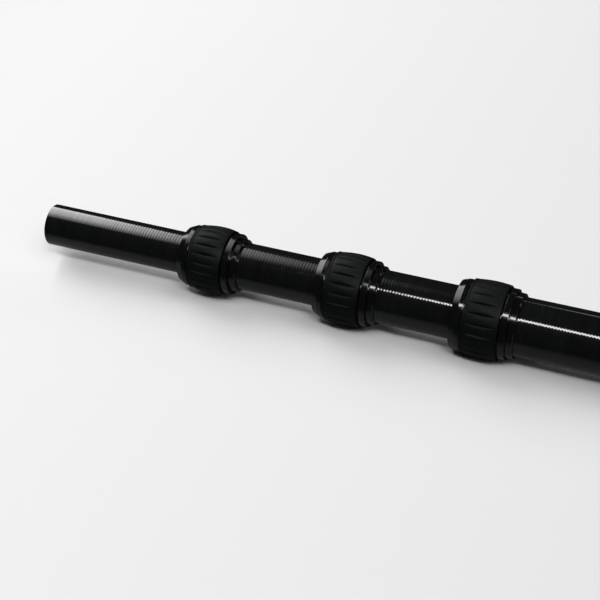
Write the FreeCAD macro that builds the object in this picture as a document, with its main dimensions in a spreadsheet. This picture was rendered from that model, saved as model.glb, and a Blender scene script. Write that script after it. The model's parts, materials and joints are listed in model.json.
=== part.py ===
import FreeCAD, Part
import math
import os
import Sketcher

# A four-section telescopic prism pole with three twist locks, in millimetres. The pole lies
# along X with +Z up. Its thin top end points to -X and its ground point to +X. The origin is
# on the pole's axis, in the lower end plane of the base tube.
#
# From the top down the tubes are top_tube, upper_tube, lower_tube and base_tube. Each lock
# (upper_lock, middle_lock, lower_lock) is built in its own local frame: x runs from the
# front of its nose towards the ground point, and every radius is taken from the axis.

SIZES = [
    # alias, value, meaning
    ("top_tube_radius", 14.0, "outside radius of the thinnest tube"),
    ("radius_step", 1.75, "growth in outside radius from one tube to the next"),
    ("tube_wall", 1.2, "wall of every tube"),
    ("tube_length", 560.0, "length of every tube"),
    ("tube_chamfer", 0.3, "broken outer edge at both ends of a tube"),
    ("bond_step", 0.25, "how far a tube is turned down where a ferrule is bonded on"),
    ("glue_gap", 0.05, "radial thickness of the glue under the ferrule"),
    ("top_showing", 101.3, "top tube in front of the upper lock"),
    ("upper_showing", 54.5, "upper tube between its two locks"),
    ("lower_showing", 50.3, "lower tube between its two locks"),
    ("run_gap", 0.05, "radial clearance of parts that slide or turn on each other"),
    ("lock_length", 41.4, "nose front to the ferrule's rear end"),
    ("nose_gap", 0.3, "radial clearance of the nut's nose round the inner tube"),
    ("nose_face", 4.3, "outside of the nose's flat front face over the inner tube"),
    ("cone_end", 4.3, "where the nose's shallow cone meets its cylindrical land"),
    ("land_end", 7.2, "end of the land"),
    ("land_radius", 20.4, "radius of the smallest lock's land"),
    ("land_growth", 1.4, "growth of that radius from lock to lock"),
    ("edge_break", 0.3, "chamfer on the exposed edges of the hard rings"),
    ("shell_rise", 5.0, "outside of the nut's shell over the inner tube"),
    ("shell_end", 31.3, "rear end of the nut's shell"),
    ("pocket_start", 2.0, "front of the pocket for wiper and washer"),
    ("pocket_end", 7.5, "rear of that pocket"),
    ("pocket_rise", 2.5, "radius of that pocket over the inner tube"),
    ("wiper_end", 4.5, "rear face of the wiper ring"),
    ("washer_end", 6.0, "rear face of the thrust washer"),
    ("thread_rise", 3.5, "crest of the ferrule's thread over the inner tube"),
    ("thread_depth", 0.5, "depth of a thread groove"),
    ("thread_pitch", 2.0, "pitch of the lock's thread"),
    ("thread_start", 13.0, "first thread groove"),
    ("thread_turns", 7.0, "number of thread grooves"),
    ("grip_start", 7.9, "front of the rubber grip"),
    ("grip_end", 31.2, "rear of the rubber grip"),
    ("lip_width", 1.6, "plain rim at the front of the grip"),
    ("lip_step", 0.25, "depth of the line between that rim and the barrel"),
    ("grip_edge", 21.35, "radius of the smallest grip at its ends"),
    ("grip_edge_growth", 1.45, "growth of that radius from lock to lock"),
    ("grip_crown", 22.65, "radius of the smallest grip at its middle"),
    ("grip_crown_growth", 1.25, "growth of that radius from lock to lock"),
    ("flute_count", 22.0, "grooves round a grip"),
    ("flute_reach", 0.9, "share of the barrel's length that a groove runs over"),
    ("ferrule_start", 11.5, "front of the ferrule"),
    ("cone_mouth", 1.95, "collet seat over the inner tube at the ferrule's mouth"),
    ("cone_root", 0.95, "collet seat over the inner tube at its deep end"),
    ("seat_end", 23.0, "deep end of the collet seat"),
    ("stop_gap", 0.1, "clearance of the ferrule's stop ring round the inner tube"),
    ("tube_stop", 26.4, "end of the larger tube inside the ferrule"),
    ("ring_start", 27.6, "front of the seal ring's groove"),
    ("ring_width", 1.6, "width of the seal ring's groove"),
    ("ring_floor", 2.6, "floor of that groove over the inner tube"),
    ("ring_wire", 0.46, "radius of the seal ring's cord"),
    ("flange_start", 32.3, "front of the ferrule's flange"),
    ("flange_end", 36.5, "rear of the flange"),
    ("flange_radius", 20.45, "radius of the smallest lock's flange"),
    ("flange_growth", 1.3, "growth of that radius from lock to lock"),
    ("skirt_start", 37.0, "front of the ferrule's skirt, behind a fine groove"),
    ("skirt_rise", 3.8, "radius of the skirt over the inner tube"),
    ("skirt_taper", 0.15, "how much the skirt narrows to its rear"),
    ("skirt_chamfer", 0.7, "chamfer at the skirt's rear end"),
    ("collet_collar", 9.0, "rear face of the collet's thick collar"),
    ("collet_end", 22.2, "thin end of the collet"),
    ("slot_start", 10.0, "closed end of the collet's slots"),
    ("slot_width", 1.2, "width of a collet slot"),
    ("slot_count", 6.0, "slots round a collet"),
    ("bush_length", 60.0, "length of a guide bush"),
    ("insert_length", 24.0, "length of the threaded insert in the top tube"),
    ("insert_bore", 6.8, "radius of its threaded hole"),
    ("insert_depth", 20.0, "depth of that hole"),
    ("plug_length", 12.0, "part of the end plug inside the top tube"),
    ("plug_head", 3.0, "thickness of the end plug's head"),
    ("socket_depth", 30.0, "part of the base socket inside the base tube"),
    ("socket_rim", 4.0, "cylindrical rim of the base socket"),
    ("socket_nose", 20.0, "base socket beyond the end of the base tube"),
    ("socket_relief", 0.2, "how far the socket's rim stays under the tube's surface"),
    ("socket_end_radius", 13.0, "small end of the base socket"),
    ("stud_radius", 7.9, "radius of the ground point's stud"),
    ("stud_length", 34.0, "length of that stud"),
    ("hex_across", 24.0, "width across flats of the ground point's collar"),
    ("hex_length", 8.0, "length of that collar"),
    ("point_radius", 9.5, "radius of the ground point behind its cone"),
    ("point_shank", 6.0, "cylindrical part in front of that cone"),
    ("point_cone", 54.0, "length of the cone"),
    ("tip_radius", 1.0, "radius of the worn tip"),
]

FULL_TURN = 360
OVERCUT = 1.0  # how far a slot's cutter reaches past the material
LEAST_CUT = 0.01  # a cut that removes less than this, in mm3, counts as missing
LOCK_NAMES = ["upper_lock", "middle_lock", "lower_lock"]

doc = FreeCAD.newDocument("prism_pole")
sheet = doc.addObject("Spreadsheet::Sheet", "Sizes")
for row, (alias, value, meaning) in enumerate(SIZES, start=1):
    sheet.set(f"A{row}", meaning)
    sheet.set(f"B{row}", str(value))
    sheet.setAlias(f"B{row}", alias)
doc.recompute()

sub_parts = []


class Size:
    """A length: its number now, and the spreadsheet expression that it follows."""

    def __init__(self, text, value):
        self.text = text
        self.value = value

    def __add__(self, other):
        other = as_size(other)
        return Size(f"({self.text} + {other.text})", self.value + other.value)

    def __sub__(self, other):
        other = as_size(other)
        return Size(f"({self.text} - {other.text})", self.value - other.value)

    def __mul__(self, other):
        other = as_size(other)
        return Size(f"({self.text} * {other.text})", self.value * other.value)

    def __truediv__(self, other):
        other = as_size(other)
        return Size(f"({self.text} / {other.text})", self.value / other.value)

    def __neg__(self):
        return Size(f"(0 - {self.text})", -self.value)


def as_size(number):
    if isinstance(number, Size):
        return number
    return Size(str(float(number)), float(number))


def cell(alias):
    return Size(f"Sizes.{alias}", float(sheet.get(alias)))


# --- how a piece is drawn -------------------------------------------------------------


def new_body(name, place):
    """An empty body for one sub-part, with its frame at x = place."""
    body = doc.addObject("PartDesign::Body", name)
    body.Label = name
    body.setExpression("Placement.Base.x", place.text)
    sub_parts.append(body)
    return body


def origin_feature(body, role):
    return next(item for item in body.Origin.OriginFeatures if item.Role == role)


def sketch_on(body, name, role):
    sketch = body.newObject("Sketcher::SketchObject", name)
    sketch.AttachmentSupport = [(origin_feature(body, role), "")]
    sketch.MapMode = "FlatFace"
    return sketch


def drive(sketch, kind, where, size):
    """Add a dimension to a sketch and bind it to the sheet."""
    index = sketch.addConstraint(Sketcher.Constraint(kind, *where, size.value))
    sketch.setExpression(f"Constraints[{index}]", size.text)


def arc_edge(start, end, radius):
    """The arc from start to end that bulges away from the axis (start lies in front of end)."""
    chord = end - start
    outward = FreeCAD.Vector(-chord.y, chord.x, 0).normalize()
    reach = math.sqrt(radius**2 - chord.Length**2 / 4)
    centre = (start + end) / 2 - outward * reach
    angles = [math.atan2(point.y - centre.y, point.x - centre.x) for point in (end, start)]
    circle = Part.Circle(centre, FreeCAD.Vector(0, 0, 1), radius)
    return Part.ArcOfCircle(circle, *angles)


def draw_outline(sketch, points):
    """A closed outline through (across, up) points. A third item in a point is the radius of
    an arc that runs from it to the next point; all other edges are straight."""
    points = [[as_size(number) for number in point] for point in points]
    count = len(points)
    corners = [FreeCAD.Vector(point[0].value, point[1].value, 0) for point in points]
    ends = []
    for i, point in enumerate(points):
        start, end = corners[i], corners[(i + 1) % count]
        if len(point) == 3:
            sketch.addGeometry(arc_edge(start, end, point[2].value), False)
            ends.append((2, 1))
        else:
            sketch.addGeometry(Part.LineSegment(start, end), False)
            ends.append((1, 2))
    for i in range(count):
        after = (i + 1) % count
        sketch.addConstraint(Sketcher.Constraint("Coincident", i, ends[i][1], after, ends[after][0]))
    for i, point in enumerate(points):
        drive(sketch, "DistanceX", (-1, 1, i, ends[i][0]), point[0])
        drive(sketch, "DistanceY", (-1, 1, i, ends[i][0]), point[1])
        if len(point) == 3:
            drive(sketch, "Radius", (i,), point[2])


def turned(name, place, points):
    """A body turned about the pole's axis from an outline of (x, radius) points."""
    body = new_body(name, place)
    sketch = sketch_on(body, f"{name}_outline", "XZ_Plane")
    draw_outline(sketch, points)
    revolution = body.newObject("PartDesign::Revolution", f"{name}_turned")
    revolution.Profile = sketch
    revolution.ReferenceAxis = (sketch, ["H_Axis"])
    revolution.Angle = FULL_TURN
    return body


def sleeve(name, place, inner, outer, start, end):
    """A plain ring or tube padded from two circles, from x = start to x = end."""
    body = new_body(name, place)
    sketch = sketch_on(body, f"{name}_circles", "YZ_Plane")
    sketch.setExpression("AttachmentOffset.Base.z", start.text)
    for index, radius in enumerate((outer, inner)):
        circle = Part.Circle(FreeCAD.Vector(), FreeCAD.Vector(0, 0, 1), radius.value)
        sketch.addGeometry(circle, False)
        sketch.addConstraint(Sketcher.Constraint("Coincident", index, 3, -1, 1))
        drive(sketch, "Radius", (index,), radius)
    pad = body.newObject("PartDesign::Pad", f"{name}_pad")
    pad.Profile = sketch
    pad.setExpression("Length", (end - start).text)
    return body


def cut_round(body, name, points, start, length, count):
    """Cut count equal channels along X, spaced round the axis, from a (y, z) outline."""
    sketch = sketch_on(body, f"{name}_outline", "YZ_Plane")
    sketch.setExpression("AttachmentOffset.Base.z", start.text)
    draw_outline(sketch, points)
    pocket = body.newObject("PartDesign::Pocket", f"{name}_cut")
    pocket.Profile = sketch
    pocket.Reversed = True
    pocket.setExpression("Length", length.text)
    pattern = body.newObject("PartDesign::PolarPattern", f"{name}_all")
    pattern.Originals = [pocket]
    pattern.Axis = (origin_feature(body, "X_Axis"), [""])
    pattern.Angle = FULL_TURN
    pattern.setExpression("Occurrences", count.text)
    body.Tip = pattern


def cut_rings(body, name, crest, depth):
    """Cut the thread as a row of ring grooves; depth below 0 cuts outwards, into a nut."""
    pitch = cell("thread_pitch")
    start = cell("thread_start")
    sketch = sketch_on(body, f"{name}_outline", "XZ_Plane")
    valley = [(start, crest), (start + pitch / 4, crest - depth), (start + pitch / 2, crest)]
    draw_outline(sketch, valley)
    groove = body.newObject("PartDesign::Groove", f"{name}_cut")
    groove.Profile = sketch
    groove.ReferenceAxis = (sketch, ["H_Axis"])
    groove.Angle = FULL_TURN
    pattern = body.newObject("PartDesign::LinearPattern", f"{name}_all")
    pattern.Originals = [groove]
    pattern.Direction = (origin_feature(body, "X_Axis"), [""])
    pattern.setExpression("Length", (pitch * (cell("thread_turns") - 1)).text)
    pattern.setExpression("Occurrences", "Sizes.thread_turns")
    body.Tip = pattern


# --- tubes and what is bonded to them -------------------------------------------------


def tube(name, place, radius, bonded):
    """One tube. Its top end is turned down over the bonded length, if it has one."""
    bore = radius - cell("tube_wall")
    length = cell("tube_length")
    chamfer = cell("tube_chamfer")
    points = [(0, bore), (length, bore), (length, radius - chamfer), (length - chamfer, radius)]
    if bonded is None:
        points += [(chamfer, radius), (0, radius - chamfer)]
    else:
        turned_down = radius - cell("bond_step")
        points += [(bonded, radius), (bonded, turned_down), (0, turned_down)]
    return turned(name, place, points)


def guide_bush(name, place, tube_radius):
    """Plastic sleeve on a sliding tube's lower end that fits the next tube's bore."""
    outer = tube_radius + cell("radius_step") - cell("tube_wall") - cell("run_gap")
    length = cell("tube_length")
    return sleeve(name, place, tube_radius, outer, length - cell("bush_length"), length)


def top_insert(place):
    """Threaded insert bonded flush in the top tube's open end."""
    outer = cell("top_tube_radius") - cell("tube_wall")
    bore = cell("insert_bore")
    lead = cell("edge_break") * 2
    depth = cell("insert_depth")
    length = cell("insert_length")
    points = [(0, bore + lead), (lead, bore), (depth, bore), (depth, 0)]
    points += [(length, 0), (length, outer), (0, outer)]
    return turned("top_insert", place, points)


def end_plug(place):
    """Plug that closes the lower end of the top tube."""
    outer = cell("top_tube_radius")
    bore = outer - cell("tube_wall")
    length = cell("plug_length")
    wall = cell("tube_wall") * 2
    head = length + cell("plug_head")
    points = [(0, bore - wall), (length, bore - wall), (length, 0), (head, 0)]
    points += [(head, outer), (length, outer), (length, bore), (0, bore)]
    return turned("top_tube_end_plug", place - length, points)


def base_socket(place, tube_radius):
    """Metal socket bonded in the base tube's lower end, bored for the ground point's stud."""
    plug = tube_radius - cell("tube_wall")
    rim = tube_radius - cell("socket_relief")
    bore = cell("stud_radius") + cell("run_gap")
    depth = cell("socket_depth")
    rim_end = depth + cell("socket_rim")
    length = depth + cell("socket_nose")
    lead = cell("edge_break") * 2
    end_radius = cell("socket_end_radius")
    points = [(0, bore), (length - lead, bore), (length, bore + lead), (length, end_radius)]
    points += [(rim_end, rim), (depth, rim), (depth, plug), (0, plug)]
    return turned("base_socket", place - depth, points)


def ground_point(place):
    """Steel point with a stud, a hexagonal collar and a cone with a blunt tip."""
    stud = cell("stud_radius")
    radius = cell("point_radius")
    start = cell("stud_length")
    collar = start + cell("hex_length")
    shank = collar + cell("point_shank")
    tip = shank + cell("point_cone")
    tip_radius = cell("tip_radius")
    lead = cell("edge_break") * 2
    points = [(0, 0), (0, stud - lead), (lead, stud), (start, stud), (start, radius), (shank, radius)]
    points += [(tip, tip_radius), (tip + tip_radius / 2, 0)]
    body = turned("ground_point", place, points)
    corner = cell("hex_across") / math.sqrt(3)
    sides = 6
    hexagon = []
    for side in range(sides):
        angle = 2 * math.pi * side / sides
        hexagon.append((corner * round(math.cos(angle), 9), corner * round(math.sin(angle), 9)))
    sketch = sketch_on(body, "collar_outline", "YZ_Plane")
    sketch.setExpression("AttachmentOffset.Base.z", start.text)
    draw_outline(sketch, hexagon)
    pad = body.newObject("PartDesign::Pad", "collar_pad")
    pad.Profile = sketch
    pad.setExpression("Length", "Sizes.hex_length")
    return body


# --- one twist lock -------------------------------------------------------------------


def lock_nut(name, place, radius, number):
    """Nut that the hand turns: a glossy nose, a shell under the grip and an inner thread."""
    land = cell("land_radius") + cell("land_growth") * number
    nose_bore = radius + cell("nose_gap")
    pocket = radius + cell("pocket_rise")
    thread = radius + cell("thread_rise") + cell("run_gap")
    shell = radius + cell("shell_rise")
    front, back = cell("pocket_start"), cell("pocket_end")
    land_end = cell("land_end")
    shell_end = cell("shell_end")
    chamfer = cell("edge_break")
    points = [(0, nose_bore), (front, nose_bore), (front, pocket), (back, pocket), (back, thread)]
    points += [(shell_end, thread), (shell_end, shell), (land_end, shell), (land_end, land - chamfer)]
    points += [(land_end - chamfer, land), (cell("cone_end"), land)]
    points += [(chamfer, radius + cell("nose_face")), (0, radius + cell("nose_face") - chamfer)]
    body = turned(f"{name}_nut", place, points)
    cut_rings(body, f"{name}_nut_thread", thread, -cell("thread_depth"))


def grip(name, place, radius, number):
    """Rubber sleeve on the nut: a plain front rim, then a barrel with lens-shaped grooves."""
    shell = radius + cell("shell_rise")
    edge = cell("grip_edge") + cell("grip_edge_growth") * number
    crown = cell("grip_crown") + cell("grip_crown_growth") * number
    start, end = cell("grip_start"), cell("grip_end")
    barrel = start + cell("lip_width")
    step = cell("lip_step")
    chamfer = cell("edge_break")
    half = (end - barrel) / 2
    rise = crown - edge
    arc = (half * half + rise * rise) / (rise * 2)
    points = [(start, shell), (start, edge - chamfer), (start + chamfer, edge), (barrel, edge)]
    points += [(barrel, edge - step), (barrel + step, edge, arc), (end, edge), (end, shell)]
    body = turned(f"{name}_grip", place, points)
    reach = cell("flute_reach")
    depth = rise * reach * reach
    floor = crown - depth
    side = depth * 2
    flute = [(0, floor), (side, floor + side), (-side, floor + side)]
    cut_round(body, f"{name}_flutes", flute, start, end - start, cell("flute_count"))


def ferrule(name, place, radius, number):
    """Ferrule bonded on the larger tube: collet seat, thread, stop ring, flange and skirt."""
    crest = radius + cell("thread_rise")
    floor = radius + cell("ring_floor")
    flange = cell("flange_radius") + cell("flange_growth") * number
    skirt = radius + cell("skirt_rise")
    tube_bore = radius + cell("radius_step") - cell("bond_step") + cell("glue_gap")
    front, back = cell("ferrule_start"), cell("lock_length")
    ring_start = cell("ring_start")
    ring_end = ring_start + cell("ring_width")
    flange_start, flange_end = cell("flange_start"), cell("flange_end")
    skirt_start = cell("skirt_start")
    skirt_end = skirt - cell("skirt_taper")
    chamfer = cell("edge_break")
    skirt_chamfer = cell("skirt_chamfer")
    points = [(front, radius + cell("cone_mouth")), (cell("seat_end"), radius + cell("cone_root"))]
    points += [(cell("seat_end"), radius + cell("stop_gap")), (cell("tube_stop"), radius + cell("stop_gap"))]
    points += [(cell("tube_stop"), tube_bore), (back, tube_bore), (back, skirt_end - skirt_chamfer)]
    points += [(back - skirt_chamfer, skirt_end), (skirt_start, skirt), (skirt_start, skirt - chamfer * 2)]
    points += [(flange_end, skirt - chamfer * 2), (flange_end, flange - chamfer)]
    points += [(flange_end - chamfer, flange), (flange_start + chamfer, flange)]
    points += [(flange_start, flange - chamfer), (flange_start, crest), (ring_end, crest), (ring_end, floor)]
    points += [(ring_start, floor), (ring_start, crest), (front + chamfer, crest), (front, crest - chamfer)]
    body = turned(f"{name}_ferrule", place, points)
    cut_rings(body, f"{name}_ferrule_thread", crest, cell("thread_depth"))


def collet(name, place, radius):
    """Split tapered sleeve that the nut presses onto the inner tube."""
    bore = radius + cell("run_gap")
    collar = radius + cell("pocket_rise") - cell("run_gap") * 2
    gap = cell("run_gap")
    start, end = cell("washer_end"), cell("collet_end")
    taper_start = cell("ferrule_start")
    thick = radius + cell("cone_mouth") - gap
    thin = radius + cell("cone_root")
    points = [(start, bore), (end, bore), (end, thin), (taper_start, thick)]
    points += [(cell("collet_collar"), thick), (cell("collet_collar"), collar), (start, collar)]
    body = turned(f"{name}_collet", place, points)
    half = cell("slot_width") / 2
    inside, outside = radius - OVERCUT, collar + OVERCUT
    slot = [(-half, inside), (half, inside), (half, outside), (-half, outside)]
    slot_start = cell("slot_start")
    cut_round(body, f"{name}_slots", slot, slot_start, end - slot_start + OVERCUT, cell("slot_count"))


def seal_ring(name, place, radius):
    """Rubber ring in the ferrule's groove that keeps dust out of the thread."""
    ring = doc.addObject("Part::Torus", f"{name}_seal_ring")
    ring.Label = f"{name}_seal_ring"
    wire = cell("ring_wire")
    middle = cell("ring_start") + cell("ring_width") / 2
    ring.setExpression("Radius1", (radius + cell("ring_floor") + wire).text)
    ring.setExpression("Radius2", wire.text)
    ring.Placement.Rotation = FreeCAD.Rotation(FreeCAD.Vector(0, 1, 0), 90)
    ring.setExpression("Placement.Base.x", (place + middle).text)
    sub_parts.append(ring)


def twist_lock(name, place, radius, number):
    """All pieces of one lock. radius is the inner tube's; number counts locks from the top."""
    gap = cell("run_gap")
    pocket = radius + cell("pocket_rise")
    lock_nut(name, place, radius, number)
    grip(name, place, radius, number)
    ferrule(name, place, radius, number)
    collet(name, place, radius)
    seal_ring(name, place, radius)
    wiper_start, wiper_end = cell("pocket_start"), cell("wiper_end")
    washer_bore = radius + cell("nose_gap")
    sleeve(f"{name}_wiper", place, radius + gap, pocket - gap, wiper_start, wiper_end)
    sleeve(f"{name}_thrust_washer", place, washer_bore, pocket - gap, wiper_end, cell("washer_end"))


# --- the pole -------------------------------------------------------------------------


def build_pole():
    tube_names = ["top_tube", "upper_tube", "lower_tube", "base_tube"]
    radii = [cell("top_tube_radius") + cell("radius_step") * i for i in range(len(tube_names))]
    lock_length = cell("lock_length")
    tube_stop = cell("tube_stop")
    lower_lock = -cell("tube_length") - tube_stop
    middle_lock = lower_lock - cell("lower_showing") - lock_length
    upper_lock = middle_lock - cell("upper_showing") - lock_length
    lock_places = [upper_lock, middle_lock, lower_lock]
    top_end = upper_lock - cell("top_showing")
    tube_tops = [top_end] + [place + tube_stop for place in lock_places]
    bonded = [None] + [lock_length - tube_stop for _ in LOCK_NAMES]
    for name, place, radius, length in zip(tube_names, tube_tops, radii, bonded):
        tube(name, place, radius, length)
    for number, (name, place) in enumerate(zip(LOCK_NAMES, lock_places)):
        guide_bush(f"{tube_names[number]}_guide_bush", tube_tops[number], radii[number])
        twist_lock(name, place, radii[number], number)
    top_insert(top_end)
    end_plug(top_end + cell("tube_length"))
    base_end = tube_tops[-1] + cell("tube_length")
    base_socket(base_end, radii[-1])
    ground_point(base_end + cell("socket_nose") - cell("stud_length"))


def check_pole():
    """Stop if any object failed or any sub-part isn't one sound solid."""
    doc.recompute()
    for item in doc.Objects:
        if "Invalid" in item.State or "Error" in item.State:
            raise RuntimeError(f"{item.Label} failed: {item.State}")
        if item.isDerivedFrom("Sketcher::SketchObject") and not item.FullyConstrained:
            raise RuntimeError(f"{item.Label} isn't fully constrained")
    for item in sub_parts:
        shape = item.Shape
        if shape.isNull() or not shape.isValid() or len(shape.Solids) != 1:
            raise RuntimeError(f"{item.Label} isn't one valid solid")
        if item.isDerivedFrom("PartDesign::Body"):
            check_cuts(item)


def check_cuts(body):
    """Stop if a pocket, groove or pattern took nothing away from the piece before it."""
    features = [item for item in body.Group if item.isDerivedFrom("PartDesign::Feature")]
    for before, after in zip(features, features[1:]):
        cuts = not after.isDerivedFrom("PartDesign::Pad")
        if cuts and after.Shape.Volume > before.Shape.Volume - LEAST_CUT:
            raise RuntimeError(f"{after.Label} cuts nothing")


def write_parts():
    os.makedirs("parts", exist_ok=True)
    for item in sub_parts:
        item.Shape.exportStep(f"parts/{item.Label}.step")
        print(f"{item.Label}: {item.Shape.Volume / 1000:.2f} cm3")


build_pole()
check_pole()
write_parts()
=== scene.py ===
import json
import math

import bmesh
import bpy
import numpy as np
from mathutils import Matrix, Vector

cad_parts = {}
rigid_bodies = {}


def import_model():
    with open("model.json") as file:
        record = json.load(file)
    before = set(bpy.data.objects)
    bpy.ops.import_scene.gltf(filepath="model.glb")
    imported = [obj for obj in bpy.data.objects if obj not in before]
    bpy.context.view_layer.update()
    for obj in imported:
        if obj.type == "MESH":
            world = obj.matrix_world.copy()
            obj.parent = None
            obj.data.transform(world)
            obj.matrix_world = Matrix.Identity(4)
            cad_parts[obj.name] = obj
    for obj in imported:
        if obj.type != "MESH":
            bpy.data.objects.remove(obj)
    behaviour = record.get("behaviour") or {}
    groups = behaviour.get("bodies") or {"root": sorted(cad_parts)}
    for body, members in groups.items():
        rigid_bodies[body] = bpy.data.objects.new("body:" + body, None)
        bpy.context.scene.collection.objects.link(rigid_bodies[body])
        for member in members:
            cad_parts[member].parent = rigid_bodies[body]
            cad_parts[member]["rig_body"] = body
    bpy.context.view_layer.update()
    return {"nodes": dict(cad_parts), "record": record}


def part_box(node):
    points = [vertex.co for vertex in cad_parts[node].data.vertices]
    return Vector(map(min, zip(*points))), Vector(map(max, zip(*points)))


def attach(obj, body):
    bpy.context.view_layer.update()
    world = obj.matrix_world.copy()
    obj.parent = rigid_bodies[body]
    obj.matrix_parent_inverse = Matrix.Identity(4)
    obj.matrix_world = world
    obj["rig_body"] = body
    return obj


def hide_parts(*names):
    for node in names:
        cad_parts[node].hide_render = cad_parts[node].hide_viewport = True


# A telescopic prism pole on a pale studio floor. The CAD frame gives each piece's ends and its
# outside radius; this script turns finer ridged, ribbed and rounded pieces that take the place
# of its main nodes, and gives everything procedural materials.

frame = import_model()

MM = 0.001
DEGREE = math.pi / 180
SLOTS = {part["node"]: part["material_slot"] for part in frame["record"]["subparts"]}

# Each lock with the tube that slides through it, and each tube with the lock on its top end.
LOCKS = {"upper_lock": "top_tube", "middle_lock": "upper_tube", "lower_lock": "lower_tube"}
TUBES = {
    "top_tube": None,
    "upper_tube": "upper_lock",
    "lower_tube": "middle_lock",
    "base_tube": "lower_lock",
}

ROUND_SEGMENTS = 128
TUBE_SEGMENTS = 56
GRIP_RINGS = 44
CREASE_ANGLE = 40 * DEGREE
TINY = 0.001 * MM

TUBE_WALL = 1.2 * MM
TUBE_CHAMFER = 0.3 * MM
BOND_STEP = 0.25 * MM
RIDGE_PITCH = 2.0 * MM
RIDGE_HEIGHT = 0.027 * MM
RINGS_PER_RIDGE = 5

# Places along a lock, from the front of its nose.
POCKET_START = 2.0 * MM
POCKET_END = 7.5 * MM
CONE_END = 4.3 * MM
LAND_END = 7.2 * MM
FERRULE_START = 11.5 * MM
THREAD_START = 13.0 * MM
SEAT_END = 23.0 * MM
TUBE_STOP = 26.4 * MM
RING_START = 27.6 * MM
RING_END = 29.2 * MM
FLANGE_START = 32.3 * MM
FLANGE_END = 36.5 * MM
SKIRT_START = 37.0 * MM

# Radii in a lock, over the radius of its inner tube.
STOP_RISE = 0.1 * MM
NOSE_GAP = 0.3 * MM
SEAT_ROOT = 0.95 * MM
BOND_RISE = 1.55 * MM
SEAT_MOUTH = 1.95 * MM
POCKET_RISE = 2.5 * MM
RING_FLOOR = 2.6 * MM
THREAD_RISE = 3.5 * MM
SKIRT_RISE = 3.8 * MM
NOSE_FACE = 4.3 * MM
SHELL_RISE = 5.0 * MM

THREAD_GAP = 0.05 * MM
THREAD_DEPTH = 0.5 * MM
THREAD_PITCH = 2.0 * MM
THREAD_TURNS = 7
SKIRT_TAPER = 0.15 * MM
SKIRT_CHAMFER = 0.7 * MM
SKIRT_GROOVE = 0.6 * MM

GRIP_LIP = 1.6 * MM
GRIP_LINE = 0.25 * MM
GRIP_EDGE = 21.35 * MM
GRIP_EDGE_GROWTH = 1.45 * MM
GROOVES = 22
GROOVE_WIDTH = 1.0 * MM
GROOVE_DEPTH = 0.7 * MM
PILLOW_DEPTH = 0.42 * MM
NEVER_ZERO = 1e-9

# The studio, in metres: the floor, and how far from the pole its reflection in the pole is darkened by
# painted shade.
FLOOR_HALF = 40.0
FLOOR_GAP = 0.1 * MM
REFLECTION_SHADE_START = 0.03
REFLECTION_SHADE_END = 0.08
REFLECTION_SHADE_SHARE = 0.72
ROOM_LIGHT = 0.015


# --- mesh helpers ---------------------------------------------------------------------


def start_x(node):
    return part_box(node)[0].x


def end_x(node):
    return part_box(node)[1].x


def outer_radius(node):
    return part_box(node)[1].z


def outer_radius_y(node):
    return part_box(node)[1].y


def rounded(corners, steps=4):
    """A closed outline with its corners rounded. A corner is (x, radius, fillet), in metres."""
    points = []
    count = len(corners)
    for i, (x, radius, fillet) in enumerate(corners):
        corner = Vector((x, radius))
        if fillet == 0:
            points.append(corner)
            continue
        back = Vector(corners[i - 1][:2]) - corner
        ahead = Vector(corners[(i + 1) % count][:2]) - corner
        half_angle = back.angle(ahead) / 2
        cut = min(fillet / math.tan(half_angle), back.length * 0.49, ahead.length * 0.49)
        first = corner + back.normalized() * cut
        last = corner + ahead.normalized() * cut
        middle = (back.normalized() + ahead.normalized()).normalized()
        centre = corner + middle * (cut / math.cos(half_angle))
        reach = cut * math.tan(half_angle)
        for step in range(steps + 1):
            along = first.lerp(last, step / steps) - centre
            points.append(centre + along.normalized() * reach)
    return points


def arc_points(start, end, radius, steps):
    """Points on the arc from start to end that bulges away from the axis, without its ends."""
    start, end = Vector(start), Vector(end)
    chord = end - start
    outward = Vector((-chord.y, chord.x)).normalized()
    centre = (start + end) / 2 - outward * math.sqrt(radius**2 - (chord.length / 2) ** 2)
    points = []
    for step in range(1, steps):
        along = start.lerp(end, step / steps) - centre
        points.append(centre + along.normalized() * radius)
    return points


def revolve(name, outline, angles, shape=None):
    """A closed solid turned about the X axis from an outline of (x, radius) points. shape may
    change the radius, as a function of x, radius and the angle from the top."""
    points = np.array([tuple(point) for point in outline])
    rings, count = len(points), len(angles)
    x = np.repeat(points[:, :1], count, axis=1)
    radius = np.repeat(points[:, 1:], count, axis=1)
    angle = np.repeat(angles[None, :], rings, axis=0)
    if shape is not None:
        radius = shape(x, radius, angle)
    vertices = np.stack([x, radius * np.sin(angle), radius * np.cos(angle)], axis=-1).reshape(-1, 3)
    here = np.arange(rings * count).reshape(rings, count)
    ahead = np.roll(here, -1, axis=0)
    faces = np.stack([here, np.roll(here, -1, axis=1), np.roll(ahead, -1, axis=1), ahead], axis=-1)
    mesh = bpy.data.meshes.new(name)
    mesh.from_pydata(vertices.tolist(), [], faces.reshape(-1, 4).tolist())
    tidy_mesh(mesh)
    piece = bpy.data.objects.new(name, mesh)
    bpy.context.scene.collection.objects.link(piece)
    return piece


def tidy_mesh(mesh):
    """Join the points that meet on the axis, face everything outwards and shade it smooth."""
    shape = bmesh.new()
    shape.from_mesh(mesh)
    on_axis = [v for v in shape.verts if math.hypot(v.co.y, v.co.z) < TINY / 10]
    if on_axis:
        bmesh.ops.remove_doubles(shape, verts=on_axis, dist=TINY)
    bmesh.ops.recalc_face_normals(shape, faces=shape.faces)
    shape.to_mesh(mesh)
    shape.free()
    mesh.polygons.foreach_set("use_smooth", [True] * len(mesh.polygons))
    mesh.set_sharp_from_angle(angle=CREASE_ANGLE)


def even_angles(count):
    return np.arange(count) * (2 * math.pi / count)


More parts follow.
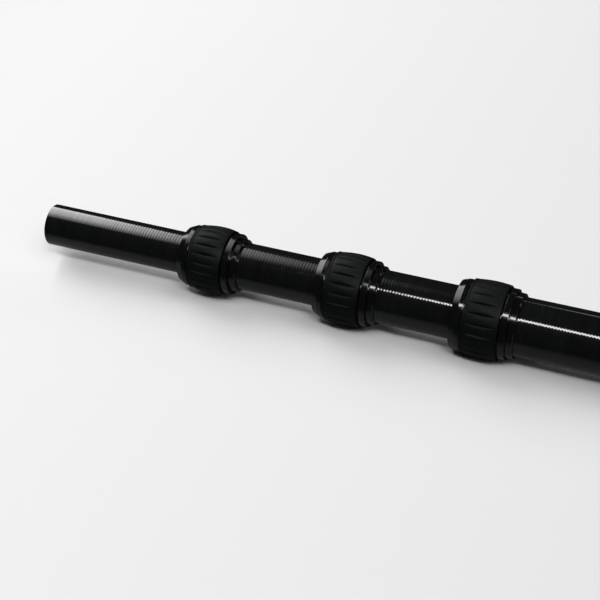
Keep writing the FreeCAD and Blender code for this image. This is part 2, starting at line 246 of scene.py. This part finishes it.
def weigh_normals(piece):
    """Keep flat faces flat beside their rounded edges."""
    modifier = piece.modifiers.new("flat_faces", "WEIGHTED_NORMAL")
    modifier.keep_sharp = True


def stand_for(piece, node, material):
    """The piece takes the place of a CAD node: same body, the given material, and the node hidden."""
    piece.data.materials.append(material)
    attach(piece, frame["nodes"][node]["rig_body"])
    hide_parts(node)


# --- tubes ----------------------------------------------------------------------------


def ridges(start, end, seed):
    """Radius change of tape-wound tube: a low crown on every turn of tape, uneven from turn to
    turn, between start and end."""
    random = np.random.default_rng(seed)
    turns = np.arange(start - RIDGE_PITCH, end + 2 * RIDGE_PITCH, RIDGE_PITCH)
    strength = random.uniform(0.55, 1.25, len(turns))

    def shape(x, radius, angle):
        phase = 2 * math.pi * x / RIDGE_PITCH - angle
        crown = 0.5 + 0.4 * np.cos(phase) + 0.1 * np.cos(2 * phase + 0.9)
        height = RIDGE_HEIGHT * np.interp(x, turns, strength)
        inside = (x > start) & (x < end)
        return radius - np.where(inside, height * (1 - crown), 0)

    return shape


def build_tube(name, lock, material, seed):
    """Ridged tube. Its top end is turned down inside the ferrule, if it has a lock."""
    start, end = start_x(name), end_x(name)
    radius = outer_radius(name)
    bore = radius - TUBE_WALL
    top_corner = [(start, radius - TUBE_CHAMFER), (start, bore)]
    ridge_start = start + TUBE_CHAMFER
    ridge_end = end - TUBE_CHAMFER
    if lock is not None:
        ridge_start = end_x(f"{lock}_ferrule")
        turned_down = radius - BOND_STEP
        top_corner = [(ridge_start, turned_down), (start, turned_down), (start, bore)]
    spacing = RIDGE_PITCH / RINGS_PER_RIDGE
    count = int((ridge_end - ridge_start) / spacing)
    wall_x = np.linspace(ridge_end, ridge_start, count)
    outline = [(end, bore), (end, radius - TUBE_CHAMFER)]
    outline += [(x, radius) for x in wall_x]
    outline += top_corner
    crown = ridges(ridge_start, ridge_end, seed)

    def shape(x, r, angle):
        return np.where(r > radius - TINY, crown(x, r, angle), r)

    piece = revolve(f"{name}_wound", outline, even_angles(TUBE_SEGMENTS), shape)
    stand_for(piece, name, material)


def build_top_insert(material):
    """Insert with a rounded thread in its blind hole, for the prism's stud."""
    start, end = start_x("top_insert"), end_x("top_insert")
    outer = outer_radius("top_insert")
    bore = 6.8 * MM
    floor = start + 20 * MM
    lead = 0.6 * MM
    edge = 0.1 * MM
    corners = [(end, 0, 0), (end, outer, 0.2 * MM), (start, outer, 0.3 * MM)]
    corners += [(start, bore + lead, edge), (start + lead, bore, edge)]
    pitch = 1.5 * MM
    valley = bore + 0.7 * MM
    turns = 11
    for turn in range(turns):
        x = start + lead * 2 + turn * pitch
        corners += [(x, bore, edge), (x + pitch / 2, valley, edge)]
    corners += [(floor - 1.0 * MM, bore, edge), (floor, bore, 0), (floor, 0, 0)]
    piece = revolve("top_insert_turned", rounded(corners, 2), even_angles(ROUND_SEGMENTS))
    weigh_normals(piece)
    stand_for(piece, "top_insert", material)


def build_base_socket(material):
    """Socket with a rim against the base tube and a cone down to its small end."""
    start, end = start_x("base_socket"), end_x("base_socket")
    rim = outer_radius("base_socket")
    tube_end = end_x("base_tube")
    plug = rim - 1.0 * MM
    bore = 7.95 * MM
    lead = 0.6 * MM
    small = 13 * MM
    rim_end = tube_end + 4 * MM
    corners = [(start, bore, 0), (end - lead, bore, 0.1 * MM), (end, bore + lead, 0.1 * MM)]
    corners += [(end, small, 0.5 * MM), (rim_end, rim, 1.0 * MM), (tube_end, rim, 0.2 * MM)]
    corners += [(tube_end, plug, 0), (start, plug, 0.3 * MM)]
    piece = revolve("base_socket_turned", rounded(corners), even_angles(ROUND_SEGMENTS))
    weigh_normals(piece)
    stand_for(piece, "base_socket", material)


def build_ground_point(material):
    """Point with a stud, a hexagonal collar with rounded corners, a shank and a cone."""
    start, end = start_x("ground_point"), end_x("ground_point")
    stud = 7.9 * MM
    collar_start = start + 34 * MM
    collar_end = collar_start + 8 * MM
    cone_start = collar_end + 6 * MM
    shank = 9.5 * MM
    tip = 1.0 * MM
    sixth = math.pi / 3
    corner = outer_radius_y("ground_point")
    flat = corner * math.cos(sixth / 2)
    lead = 0.6 * MM
    crown = 1.4 * MM
    edge = 0.1 * MM
    corners = [(start, 0, 0), (start, stud - lead, edge), (start + lead, stud, edge)]
    corners += [(collar_start, stud, 0.2 * MM), (collar_start, flat - lead, edge)]
    corners += [(collar_start + crown, corner, 0), (collar_end - crown, corner, 0)]
    corners += [(collar_end, flat - lead, edge), (collar_end, shank, 0.3 * MM)]
    corners += [(cone_start, shank, 1.5 * MM), (end - tip / 2, tip, 0.5 * MM), (end, 0, 0)]

    def hexagon(x, radius, angle):
        side = (angle + sixth / 2) % sixth - sixth / 2
        return np.where(radius > shank + 0.5 * MM, np.minimum(radius, flat / np.cos(side)), radius)

    segments = ROUND_SEGMENTS * 3 // 2
    piece = revolve("ground_point_turned", rounded(corners), even_angles(segments), hexagon)
    weigh_normals(piece)
    stand_for(piece, "ground_point", material)


# --- twist locks ----------------------------------------------------------------------


def thread(first, crest, depth):
    """Corners of a row of rounded thread valleys from first on; depth below 0 cuts outwards."""
    edge = 0.1 * MM
    corners = []
    for turn in range(THREAD_TURNS):
        x = first + turn * THREAD_PITCH
        corners += [(x, crest, edge), (x + THREAD_PITCH / 4, crest - depth, edge)]
        corners += [(x + THREAD_PITCH / 2, crest, edge)]
    return corners


def build_nut(lock, inner, material):
    """Nose with a flat face, a shallow cone and a land; behind it the threaded shell."""
    node = f"{lock}_nut"
    front, end = start_x(node), end_x(node)
    tube = outer_radius(inner)
    land = outer_radius(node)
    bore = tube + NOSE_GAP
    pocket = tube + POCKET_RISE
    crest = tube + THREAD_RISE + THREAD_GAP
    shell = tube + SHELL_RISE
    corners = [(front, bore, 0.15 * MM), (front, tube + NOSE_FACE, 0.35 * MM)]
    corners += [(front + CONE_END, land, 0.6 * MM), (front + LAND_END, land, 0.3 * MM)]
    corners += [(front + LAND_END, shell, 0), (end, shell, 0.2 * MM), (end, crest, 0.2 * MM)]
    corners += reversed(thread(front + THREAD_START, crest, -THREAD_DEPTH))
    corners += [(front + POCKET_END, crest, 0), (front + POCKET_END, pocket, 0)]
    corners += [(front + POCKET_START, pocket, 0), (front + POCKET_START, bore, 0)]
    piece = revolve(f"{node}_polished", rounded(corners), even_angles(ROUND_SEGMENTS))
    weigh_normals(piece)
    stand_for(piece, node, material)


def groove_angles():
    """Angles round a grip, closer together in its grooves than on its ribs."""
    steps = np.array([0, 0.03, 0.06, 0.09, 0.13, 0.18, 0.25, 0.33, 0.41, 0.5])
    rib = np.concatenate([steps, 1 - steps[-2:0:-1]])
    spacing = 2 * math.pi / GROOVES
    return np.concatenate([(groove + rib) * spacing for groove in range(GROOVES)])


def build_grip(lock, inner, material, number):
    """Rubber barrel behind a plain rim, with lens-shaped grooves and soft ribs between them."""
    node = f"{lock}_grip"
    start, end = start_x(node), end_x(node)
    shell = outer_radius(inner) + SHELL_RISE
    crown = outer_radius(node)
    edge = GRIP_EDGE + GRIP_EDGE_GROWTH * number
    barrel = start + GRIP_LIP
    half = (end - barrel) / 2
    rise = crown - edge
    arc = (half**2 + rise**2) / (2 * rise)
    arc_start = barrel + GRIP_LINE

    corners = [(start, shell, 0), (start, edge, 0.3 * MM), (barrel, edge, 0.12 * MM)]
    corners += [(barrel + GRIP_LINE / 2, edge - GRIP_LINE, 0), (arc_start, edge, 0.08 * MM)]
    barrel_arc = arc_points((arc_start, edge), (end, edge), arc, GRIP_RINGS)
    corners += [(*point, 0) for point in barrel_arc]
    corners += [(end, edge, 0.35 * MM), (end, shell, 0)]

    groove_middle = barrel + half * 0.93
    groove_half = half * 0.9
    spacing = 2 * math.pi / GROOVES
    rib_half = spacing * crown / 2

    def flutes(x, radius, angle):
        across = np.abs((angle / spacing + 0.5) % 1 - 0.5) * spacing * crown
        along = (x - groove_middle) / groove_half
        lens = np.clip(1 - along**2, 0, None)
        width = GROOVE_WIDTH * lens + NEVER_ZERO
        groove = GROOVE_DEPTH * lens * np.clip(1 - across / width, 0, 1)
        pillow = PILLOW_DEPTH * lens * (across / rib_half - 1) ** 2
        return np.where(radius > shell + 0.5 * MM, radius - groove - pillow, radius)

    piece = revolve(f"{node}_ribbed", rounded(corners), groove_angles(), flutes)
    stand_for(piece, node, material)


def build_ferrule(lock, inner, material):
    """Flange and skirt rings, and the collet seat, stop, thread and ring groove under the nut."""
    node = f"{lock}_ferrule"
    first, back = start_x(node), end_x(node)
    front = first - FERRULE_START
    tube = outer_radius(inner)
    flange = outer_radius(node)
    crest = tube + THREAD_RISE
    skirt = tube + SKIRT_RISE
    skirt_end = skirt - SKIRT_TAPER
    neck = skirt - SKIRT_GROOVE
    stop = tube + STOP_RISE
    bond = tube + BOND_RISE
    floor = tube + RING_FLOOR
    soft, fine = 0.35 * MM, 0.1 * MM
    corners = [(first, tube + SEAT_MOUTH, 0.15 * MM), (front + SEAT_END, tube + SEAT_ROOT, 0)]
    corners += [(front + SEAT_END, stop, 0), (front + TUBE_STOP, stop, 0), (front + TUBE_STOP, bond, 0)]
    corners += [(back, bond, fine), (back, skirt_end - SKIRT_CHAMFER, 0.15 * MM)]
    corners += [(back - SKIRT_CHAMFER, skirt_end, 0.2 * MM), (front + SKIRT_START, skirt, 0.25 * MM)]
    corners += [(front + SKIRT_START, neck, 0), (front + FLANGE_END, neck, 0)]
    corners += [(front + FLANGE_END, flange, soft), (front + FLANGE_START, flange, soft)]
    corners += [(front + FLANGE_START, crest, 0), (front + RING_END, crest, fine)]
    corners += [(front + RING_END, floor, 0), (front + RING_START, floor, 0)]
    corners += [(front + RING_START, crest, fine)]
    corners += reversed(thread(front + THREAD_START, crest, THREAD_DEPTH))
    corners += [(first, crest, 0.2 * MM)]
    piece = revolve(f"{node}_polished", rounded(corners), even_angles(ROUND_SEGMENTS))
    weigh_normals(piece)
    stand_for(piece, node, material)


# --- materials ------------------------------------------------------------------------


def set_inputs(tree, node, inputs):
    """Link every input that is given as a socket and set the others."""
    for key, value in inputs.items():
        if isinstance(value, bpy.types.NodeSocket):
            tree.links.new(value, node.inputs[key])
        else:
            node.inputs[key].default_value = value


def add_node(tree, kind, inputs=None, **settings):
    node = tree.nodes.new(kind)
    for key, value in settings.items():
        setattr(node, key, value)
    set_inputs(tree, node, inputs or {})
    return node


def math_node(tree, operation, *values):
    node = add_node(tree, "ShaderNodeMath", dict(enumerate(values)), operation=operation)
    return node.outputs[0]


def spread(tree, value, low, high, to_low, to_high, smooth=False):
    """Map a value from one span to another, clamped at both ends."""
    inputs = {"Value": value, "From Min": low, "From Max": high, "To Min": to_low, "To Max": to_high}
    kind = "SMOOTHSTEP" if smooth else "LINEAR"
    node = add_node(tree, "ShaderNodeMapRange", inputs, interpolation_type=kind)
    return node.outputs["Result"]


def ramp_at(tree, value, edge, softness):
    """0 below the edge and 1 above it, changing smoothly over the softness at each side."""
    beyond = math_node(tree, "SUBTRACT", value, edge)
    return spread(tree, beyond, -softness, softness, 0.0, 1.0, True)


def band(tree, value, low, high, softness):
    """1 between low and high, falling to 0 over the softness at each side."""
    rise = ramp_at(tree, value, low, softness)
    fall = ramp_at(tree, value, high, softness)
    return math_node(tree, "MULTIPLY", rise, math_node(tree, "SUBTRACT", 1.0, fall))


def curve_of(tree, value, low, high, steps):
    """A brightness that runs straight from one (position, level) step to the next. The steps
    lie between low and high, in order."""
    share = spread(tree, value, low, high, 0.0, 1.0)
    ramp = add_node(tree, "ShaderNodeValToRGB", {"Fac": share})
    elements = ramp.color_ramp.elements
    for index, (position, level) in enumerate(steps):
        at = (position - low) / (high - low)
        element = elements[index] if index < 2 else elements.new(at)
        element.position = at
        element.color = (level, level, level, 1)
    return ramp.outputs["Color"]


def noise(tree, place, stretch, detail=2.0):
    """Noise from 0 to 1 over a place, finer along an axis the larger its stretch (per metre)."""
    scaled = add_node(tree, "ShaderNodeVectorMath", {0: place, 1: stretch}, operation="MULTIPLY")
    inputs = {"Vector": scaled.outputs[0], "Scale": 1.0, "Detail": detail}
    return add_node(tree, "ShaderNodeTexNoise", inputs).outputs["Fac"]


def mixed(tree, factor, dark, light):
    """A colour between dark, where the factor is 0, and light, where it is 1."""
    node = add_node(tree, "ShaderNodeMix", {"Factor": factor}, data_type="RGBA")
    first, second = [socket for socket in node.inputs if socket.type == "RGBA"]
    first.default_value = (*dark, 1)
    second.default_value = (*light, 1)
    return next(socket for socket in node.outputs if socket.type == "RGBA")


def new_surface(name):
    """A material with its node tree, its shader and the place on the object, in metres."""
    material = bpy.data.materials.new(name)
    material.use_nodes = True
    tree = material.node_tree
    shader = tree.nodes["Principled BSDF"]
    place = add_node(tree, "ShaderNodeTexCoord").outputs["Object"]
    return material, tree, shader, place


def bump(tree, height, depth, strength=1.0):
    inputs = {"Height": height, "Distance": depth, "Strength": strength}
    return add_node(tree, "ShaderNodeBump", inputs).outputs["Normal"]


def wound_carbon():
    """Clear resin over black carbon tape: streaks of fibre round the tube under a glossy coat."""
    material, tree, shader, place = new_surface("wound_carbon")
    streaks = noise(tree, place, (2600, 130, 130), 3.0)
    bands = noise(tree, place, (260, 25, 25), 1.0)
    orange_peel = noise(tree, place, (420, 420, 420), 2.0)
    fibre = math_node(tree, "MULTIPLY", streaks, bands)
    inputs = {
        "Base Color": mixed(tree, fibre, (0.0018, 0.002, 0.0021), (0.0085, 0.0092, 0.0095)),
        "Roughness": spread(tree, streaks, 0.3, 0.7, 0.28, 0.42),
        "Specular IOR Level": 0.02,
        "Coat Weight": 1.0,
        "Coat Roughness": spread(tree, bands, 0.3, 0.7, 0.03, 0.08),
        "Normal": bump(tree, streaks, 0.004 * MM),
        "Coat Normal": bump(tree, orange_peel, 0.012 * MM),
    }
    set_inputs(tree, shader, inputs)
    return material


def hard_black():
    """Polished black plastic with the faint lines of turning and a slight haze."""
    material, tree, shader, place = new_surface("hard_black")
    lines = noise(tree, place, (5200, 160, 160), 2.0)
    haze = noise(tree, place, (140, 140, 140), 3.0)
    inputs = {
        "Base Color": mixed(tree, haze, (0.0018, 0.002, 0.002), (0.0036, 0.0038, 0.0038)),
        "Roughness": spread(tree, haze, 0.3, 0.7, 0.1, 0.135),
        "Specular IOR Level": 0.5,
        "Normal": bump(tree, lines, 0.0012 * MM),
    }
    set_inputs(tree, shader, inputs)
    return material


def grip_rubber():
    """Matt moulded rubber with a fine spark-eroded grain and a little dust."""
    material, tree, shader, place = new_surface("grip_rubber")
    grain = noise(tree, place, (5200, 5200, 5200), 2.0)
    dust = noise(tree, place, (260, 260, 260), 4.0)
    inputs = {
        "Base Color": mixed(tree, dust, (0.0016, 0.0025, 0.0025), (0.0032, 0.0045, 0.0045)),
        "Roughness": spread(tree, dust, 0.3, 0.7, 0.44, 0.56),
        "Specular IOR Level": 0.1,
        "Normal": bump(tree, grain, 0.02 * MM, 0.5),
    }
    set_inputs(tree, shader, inputs)
    return material


def turned_metal(name, dark, light, roughness):
    """Metal with the fine rings that a lathe leaves, and a slight stain."""
    material, tree, shader, place = new_surface(name)
    rings = noise(tree, place, (9000, 40, 40), 2.0)
    stain = noise(tree, place, (90, 90, 90), 3.0)
    inputs = {
        "Base Color": mixed(tree, stain, dark, light),
        "Metallic": 1.0,
        "Roughness": spread(tree, rings, 0.3, 0.7, roughness - 0.07, roughness + 0.07),
        "Normal": bump(tree, rings, 0.004 * MM),
    }
    set_inputs(tree, shader, inputs)
    return material


def plain_moulding(name, dark, light, roughness, grain_size):
    """Moulded or felted material: soft colour changes and a grain of the given size."""
    material, tree, shader, place = new_surface(name)
    fineness = 1 / grain_size
    grain = noise(tree, place, (fineness, fineness, fineness), 3.0)
    cloud = noise(tree, place, (120, 120, 120), 3.0)
    inputs = {
        "Base Color": mixed(tree, cloud, dark, light),
        "Roughness": spread(tree, grain, 0.3, 0.7, roughness - 0.08, roughness + 0.08),
        "Normal": bump(tree, grain, grain_size / 8),
    }
    set_inputs(tree, shader, inputs)
    return material


def make_materials():
    """One material for each material slot of the CAD record, by the slot's name."""
    mouldings = {
        "slide_plastic": ((0.70, 0.69, 0.64), (0.80, 0.79, 0.74), 0.42, 0.25 * MM),
        "seal_rubber": ((0.010, 0.010, 0.010), (0.022, 0.022, 0.022), 0.5, 0.15 * MM),
        "felt": ((0.03, 0.03, 0.034), (0.08, 0.08, 0.085), 0.9, 0.3 * MM),
        "plug_plastic": ((0.012, 0.012, 0.013), (0.025, 0.025, 0.027), 0.55, 0.2 * MM),
    }
    metals = {
        "aluminium": ((0.66, 0.67, 0.68), (0.78, 0.79, 0.80), 0.3),
        "black_aluminium": ((0.015, 0.015, 0.017), (0.03, 0.03, 0.032), 0.34),
        "steel": ((0.46, 0.46, 0.47), (0.62, 0.62, 0.63), 0.26),
    }
    made = {"wound_carbon": wound_carbon(), "hard_black": hard_black(), "grip_rubber": grip_rubber()}
    for name, look in mouldings.items():
        made[name] = plain_moulding(name, *look)
    for name, look in metals.items():
        made[name] = turned_metal(name, *look)
    return made


def paint_frame_nodes(materials):
    """Give every CAD node that still shows the material of its slot."""
    for name, node in frame["nodes"].items():
        if not node.hide_render:
            node.data.materials.clear()
            node.data.materials.append(materials[SLOTS[name]])


# --- studio ---------------------------------------------------------------------------


def floor_surface():
    """Pale matt paper with painted light: its colour is brighter towards the thin end of the pole and
    darker far off.
    Seen in the glossy pole it is mostly swapped for a dark colour, a painted shade in the floor's
    reflection."""
    material, tree, shader, place = new_surface("studio_paper")
    axes = add_node(tree, "ShaderNodeSeparateXYZ", {0: place}).outputs
    far, bright, dim = -4.0, -1.0, -0.4
    # painted light: the paper's colour brightens towards the thin end of the pole and darkens far off,
    # standing in for how the light falls on it
    painted_light_falloff = curve_of(tree, axes["X"], far, dim, [(far, 0.5), (bright, 0.85), (dim, 0.0)])
    tooth = noise(tree, place, (900, 900, 900), 3.0)
    inputs = {
        "Base Color": mixed(tree, painted_light_falloff, (0.675, 0.675, 0.681), (0.825, 0.825, 0.825)),
        "Roughness": 1.0,
        "Specular IOR Level": 0.0,
        "Normal": bump(tree, tooth, 0.02 * MM),
    }
    set_inputs(tree, shader, inputs)
    # painted shade: in glossy rays the floor is swapped, mostly near the pole and wholly farther off,
    # for this dark colour, so the pole mirrors a darkened floor
    reflection_shade = add_node(tree, "ShaderNodeBsdfDiffuse", {"Color": (0.010, 0.0135, 0.013, 1)})
    aside = math_node(tree, "ABSOLUTE", axes["Y"])
    reflection_shade_cover = spread(tree, aside, REFLECTION_SHADE_START, REFLECTION_SHADE_END, REFLECTION_SHADE_SHARE, 1.0, True)
    in_gloss = add_node(tree, "ShaderNodeLightPath").outputs["Is Glossy Ray"]
    painted_shade_in_gloss = math_node(tree, "MULTIPLY", reflection_shade_cover, in_gloss)
    shaders = {0: painted_shade_in_gloss, 1: shader.outputs[0], 2: reflection_shade.outputs[0]}
    seen = add_node(tree, "ShaderNodeMixShader", shaders)
    tree.links.new(seen.outputs[0], tree.nodes["Material Output"].inputs["Surface"])
    return material


def build_floor():
    """A wide sheet just under the largest grip, which the pole rests on."""
    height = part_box("lower_lock_grip")[0].z - FLOOR_GAP
    half = FLOOR_HALF
    mesh = bpy.data.meshes.new("floor")
    signs = [(-1, -1), (1, -1), (1, 1), (-1, 1)]
    mesh.from_pydata([(half * x, half * y, height) for x, y in signs], [], [(0, 1, 2, 3)])
    floor = bpy.data.objects.new("floor", mesh)
    floor.data.materials.append(floor_surface())
    bpy.context.scene.collection.objects.link(floor)


def end_box(tree, height, along):
    """The bright box over the thin end of the pole, which fades out towards the thick end."""
    low_edge = spread(tree, along, -0.33, -0.23, 74 * DEGREE, 103 * DEGREE)
    high_edge = spread(tree, along, -0.44, -0.23, 149 * DEGREE, 116 * DEGREE)
    box = band(tree, height, low_edge, high_edge, 2.5 * DEGREE)
    low, high = -0.88, -0.19
    levels = [(low, 0.0), (-0.84, 0.5), (-0.6, 0.4), (-0.5, 0.5), (-0.44, 1.0), (-0.407, 0.76)]
    levels += [(-0.374, 0.41), (-0.325, 0.2), (-0.286, 0.12), (-0.234, 0.015), (high, 0.0)]
    fade = curve_of(tree, along, low, high, levels)
    slope = spread(tree, height, 76 * DEGREE, 104 * DEGREE, 0.16, 1.0)
    return math_node(tree, "MULTIPLY", math_node(tree, "MULTIPLY", box, fade), slope)


def side_strip(tree, height, along):
    """The long narrow strip on the camera's side, a little lower towards the thick end."""
    low_edge = spread(tree, along, -0.24, 0.0, 61.5 * DEGREE, 52 * DEGREE)
    high_edge = math_node(tree, "ADD", low_edge, 6.5 * DEGREE)
    strip = band(tree, height, low_edge, high_edge, 1.0 * DEGREE)
    return math_node(tree, "MULTIPLY", strip, band(tree, along, -0.232, 0.45, 0.012))


def back_strip(tree, height, along):
    """The faint strip behind the thick end."""
    strip = band(tree, height, 150 * DEGREE, 154 * DEGREE, 0.8 * DEGREE)
    return math_node(tree, "MULTIPLY", strip, spread(tree, along, -0.16, -0.11, 0.0, 1.0))


def soft_fill(tree, height, along):
    """A broad fill on the camera's side, beyond the thick end."""
    fill = band(tree, height, 46 * DEGREE, 90 * DEGREE, 6 * DEGREE)
    return math_node(tree, "MULTIPLY", fill, band(tree, along, 0.24, 0.68, 0.04))


def build_light():
    """Soft light by direction. height is the angle round the pole, from the camera's side over
    the top; along is the direction's X. The camera itself sees a plain pale backdrop."""
    world = bpy.data.worlds.new("studio")
    bpy.context.scene.world = world
    world.use_nodes = True
    tree = world.node_tree
    tree.nodes.clear()
    direction = add_node(tree, "ShaderNodeTexCoord").outputs["Generated"]
    axes = add_node(tree, "ShaderNodeSeparateXYZ", {0: direction}).outputs
    along = axes["X"]
    towards_camera = math_node(tree, "MULTIPLY", axes["Y"], -1.0)
    height = math_node(tree, "ARCTAN2", axes["Z"], towards_camera)

    total = math_node(tree, "MULTIPLY", end_box(tree, height, along), 8.4)
    for light, strength in ((soft_fill, 2.5), (side_strip, 20.0), (back_strip, 1.8)):
        total = math_node(tree, "MULTIPLY_ADD", light(tree, height, along), strength, total)
    total = math_node(tree, "ADD", total, ROOM_LIGHT)
    white = (1.0, 1.0, 1.0, 1)
    studio = add_node(tree, "ShaderNodeBackground", {"Color": white, "Strength": total})
    pale = {"Color": (0.89, 0.89, 0.89, 1), "Strength": 1.0}
    backdrop = add_node(tree, "ShaderNodeBackground", pale)
    camera_ray = add_node(tree, "ShaderNodeLightPath").outputs["Is Camera Ray"]
    shaders = {0: camera_ray, 1: studio.outputs[0], 2: backdrop.outputs[0]}
    chosen = add_node(tree, "ShaderNodeMixShader", shaders)
    add_node(tree, "ShaderNodeOutputWorld", {"Surface": chosen.outputs[0]})
    world.cycles.sampling_method = "MANUAL"
    world.cycles.sample_map_resolution = 2048


def build_camera():
    """Look down on the thin end and the locks, from beside the pole and beyond the locks."""
    top_end = Vector((start_x("top_tube"), 0, 0))
    eye = top_end + Vector((0.4734, -0.7597, 0.5696))
    target = top_end + Vector((0.1830, -0.0026, -0.0156))
    camera_data = bpy.data.cameras.new("camera")
    camera_data.lens = 90.81
    camera_data.sensor_width = 36
    camera = bpy.data.objects.new("camera", camera_data)
    camera.location = eye
    camera.rotation_euler = (target - eye).to_track_quat("-Z", "Y").to_euler()
    bpy.context.scene.collection.objects.link(camera)
    bpy.context.scene.camera = camera


# --- the pole -------------------------------------------------------------------------

materials = make_materials()
for number, (tube_name, lock_name) in enumerate(TUBES.items()):
    build_tube(tube_name, lock_name, materials["wound_carbon"], number)
for number, (lock_name, inner_tube) in enumerate(LOCKS.items()):
    build_nut(lock_name, inner_tube, materials["hard_black"])
    build_grip(lock_name, inner_tube, materials["grip_rubber"], number)
    build_ferrule(lock_name, inner_tube, materials["hard_black"])
build_top_insert(materials["aluminium"])
build_base_socket(materials["black_aluminium"])
build_ground_point(materials["steel"])
paint_frame_nodes(materials)

build_floor()
build_light()
build_camera()
bpy.context.scene.view_settings.view_transform = "Standard"
